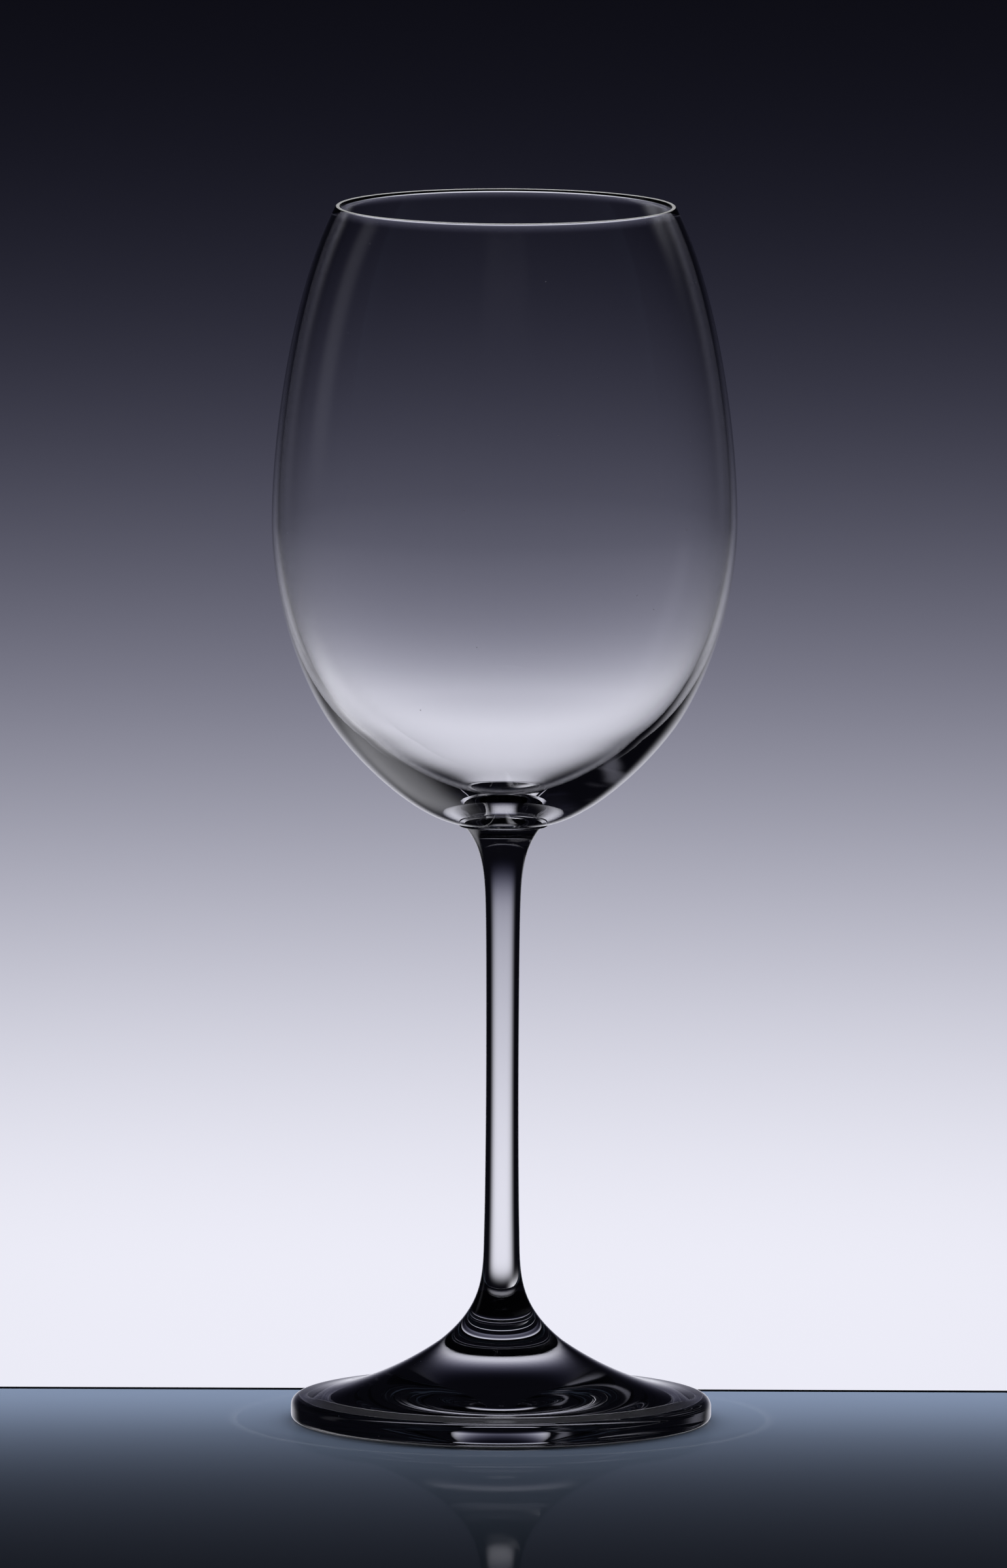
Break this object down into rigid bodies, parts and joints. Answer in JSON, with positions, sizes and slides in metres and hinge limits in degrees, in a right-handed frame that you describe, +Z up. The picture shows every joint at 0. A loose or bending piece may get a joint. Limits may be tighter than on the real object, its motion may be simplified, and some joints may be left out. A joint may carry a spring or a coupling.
{
  "type": "wine glass",
  "caption": "Empty stemmed wine glass of clear glass: a deep tulip bowl for red wine on a slim drawn stem and a broad round foot.",
  "frame": {"origin": "On the glass's axis, in the plane of the ring that the foot stands on, at the bottom centre of the bounding box.", "axes": "+Z runs up the stem, along the axis of revolution, to the rim. +X is to the right and +Y away from the viewer; the shape is the same all round."},
  "size_m": [0.0896, 0.0896, 0.235],
  "materials": {
    "clear_glass": "fire-polished, smooth and fully clear"
  },
  "bodies": {
    "root": {"wine_glass": "clear_glass"}
  },
  "joints": []
}
